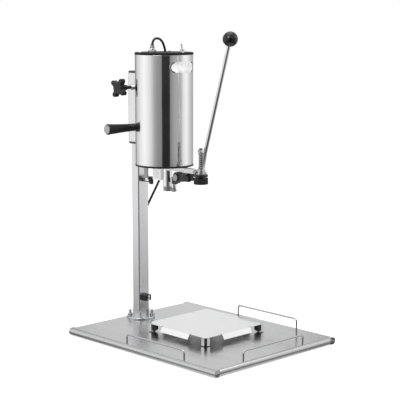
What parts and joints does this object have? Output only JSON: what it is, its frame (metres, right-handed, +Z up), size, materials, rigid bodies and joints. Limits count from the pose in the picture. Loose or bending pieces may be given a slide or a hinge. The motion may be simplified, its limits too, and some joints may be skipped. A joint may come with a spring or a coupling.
{
  "type": "electric tin opener",
  "caption": "Bench opener for large square tins: motor head on a column over a fenced tray base, with a feed spindle and a lever-closed cutter.",
  "frame": {"origin": "centre of the base plate's underside, on the bench", "axes": "+Z up along the column, -Y towards the operator, +X to the operator's right"},
  "size_m": [0.48, 0.7406, 0.874],
  "materials": {
    "stainless": "brushed",
    "polished": "polished",
    "black_plastic": "satin",
    "nylon": "matte",
    "black_nylon": "matte",
    "rubber": "matte",
    "black_iron": "blackened",
    "tool_steel": "ground",
    "zinc": "zinc plated",
    "motor_paint": "enamel",
    "bronze": "machined",
    "cord": "matte",
    "aluminium": "satin"
  },
  "bodies": {
    "base": {"base_plate": "stainless", "column_backing_plate": "zinc", "column_flange": "stainless", "column_bolts": "zinc", "column_tube": "stainless", "column_cap": "black_plastic", "lower_bumper": "rubber", "bumper_screws": "zinc", "fence_left": "polished", "fence_front": "polished", "fence_right": "polished", "cord_drop": "cord", "cord_hank": "cord", "mains_plug": "rubber"},
    "tray": {"tin_tray": "stainless", "caster_cups": "black_plastic"},
    "ball_left_rear": {"caster_ball_left_rear": "black_nylon"},
    "ball_left_front": {"caster_ball_left_front": "black_nylon"},
    "ball_right_front": {"caster_ball_right_front": "black_nylon"},
    "ball_right_rear": {"caster_ball_right_rear": "black_nylon"},
    "head": {"carriage_sleeve": "stainless", "upper_bush": "black_nylon", "lower_bush": "black_nylon", "back_plate": "zinc", "head_base": "aluminium", "bottom_ring": "black_plastic", "housing_shell": "polished", "housing_lid": "black_plastic", "head_screws": "zinc", "name_plate": "aluminium", "cable_gland": "black_plastic", "switch_body": "zinc", "motor_plate": "aluminium", "motor_body": "motor_paint", "motor_capacitor": "aluminium", "spindle_tube": "polished", "spindle_bearings": "tool_steel", "head_arms": "stainless", "guide_block": "nylon", "clamp_bracket": "black_iron", "clamp_boss": "zinc", "handle_grip": "black_plastic", "handle_stud": "zinc", "pivot_bolts": "black_iron", "plunger_spring": "zinc", "cord_upper": "cord"},
    "star": {"star_knob": "black_plastic"},
    "clamp": {"clamp_knob": "black_plastic"},
    "lever": {"lever_arm": "polished", "lever_ball": "black_plastic"},
    "plunger": {"plunger_screw": "black_iron", "plunger_nut": "zinc"},
    "adjuster": {"adjusting_knob": "black_plastic"},
    "rocker": {"rocker_arm": "black_iron", "cutter_axle": "polished"},
    "cutter": {"cutter_wheel": "tool_steel"},
    "spindle": {"spindle_shaft": "tool_steel", "spindle_gear": "bronze"},
    "motor": {"motor_pinion": "tool_steel"},
    "toggle": {"switch_bat": "zinc"}
  },
  "joints": [
    {"name": "tray_slide", "type": "slide", "parent": "base", "child": "tray", "axis": [0, 1, 0], "range_m": [-0.145, 0.08]},
    {"name": "head_slide", "type": "slide", "parent": "base", "child": "head", "axis": [0, 0, 1], "range_m": [-0.33, 0.04], "deforming": ["cord_drop"]},
    {"name": "star_turn", "type": "hinge", "parent": "head", "child": "star", "pos_m": [-0.06, 0.255, 0.709], "axis": [-1, 0, 0], "range_deg": [-180, 360]},
    {"name": "clamp_turn", "type": "hinge", "parent": "head", "child": "clamp", "pos_m": [0, 0.21, 0.437], "axis": [0, -1, 0], "range_deg": [-180, 360]},
    {"name": "lever_pull", "type": "hinge", "parent": "head", "child": "lever", "pos_m": [0.017, 0.008, 0.483], "axis": [1, 0, 0], "range_deg": [0, 60]},
    {"name": "rocker_tilt", "type": "hinge", "parent": "head", "child": "rocker", "pos_m": [0, 0.078, 0.461], "axis": [1, 0, 0], "range_deg": [-0.5, 7.5]},
    {"name": "plunger_slide", "type": "slide", "parent": "head", "child": "plunger", "axis": [0, 0, 1], "range_m": [-0.011, 0.001], "deforming": ["plunger_spring"]},
    {"name": "adjuster_turn", "type": "hinge", "parent": "plunger", "child": "adjuster", "pos_m": [0, -0.0025, 0.457], "axis": [0, 0, 1], "range_deg": [-360, 360]},
    {"name": "cutter_spin", "type": "hinge", "parent": "rocker", "child": "cutter", "pos_m": [0, 0.1085, 0.421], "axis": [0, 0, 1], "continuous": true},
    {"name": "spindle_spin", "type": "hinge", "parent": "head", "child": "spindle", "pos_m": [0, 0.135, 0.46], "axis": [0, 0, 1], "continuous": true},
    {"name": "motor_spin", "type": "hinge", "parent": "head", "child": "motor", "pos_m": [0, 0.1782, 0.52], "axis": [0, 0, 1], "continuous": true},
    {"name": "switch_throw", "type": "hinge", "parent": "head", "child": "toggle", "pos_m": [0.047, 0.122, 0.817], "axis": [1, 0, 0], "range_deg": [0, 24]},
    {"name": "roll_left_rear", "type": "hinge", "parent": "tray", "child": "ball_left_rear", "pos_m": [-0.0865, 0.1005, 0.0293], "axis": [1, 0, 0], "continuous": true},
    {"name": "roll_left_front", "type": "hinge", "parent": "tray", "child": "ball_left_front", "pos_m": [-0.0865, -0.1105, 0.0293], "axis": [1, 0, 0], "continuous": true},
    {"name": "roll_right_front", "type": "hinge", "parent": "tray", "child": "ball_right_front", "pos_m": [0.1245, -0.1105, 0.0293], "axis": [1, 0, 0], "continuous": true},
    {"name": "roll_right_rear", "type": "hinge", "parent": "tray", "child": "ball_right_rear", "pos_m": [0.1245, 0.1005, 0.0293], "axis": [1, 0, 0], "continuous": true}
  ],
  "couplings": [
    {"joint": "rocker_tilt", "follows": "lever_pull", "ratio": 0.11685},
    {"joint": "plunger_slide", "follows": "lever_pull", "m_per_rad": -0.0094061},
    {"joint": "motor_spin", "follows": "spindle_spin", "ratio": -3},
    {"joint": "roll_left_rear", "follows": "tray_slide", "rad_per_m": -111.11},
    {"joint": "roll_left_front", "follows": "tray_slide", "rad_per_m": -111.11},
    {"joint": "roll_right_front", "follows": "tray_slide", "rad_per_m": -111.11},
    {"joint": "roll_right_rear", "follows": "tray_slide", "rad_per_m": -111.11}
  ]
}
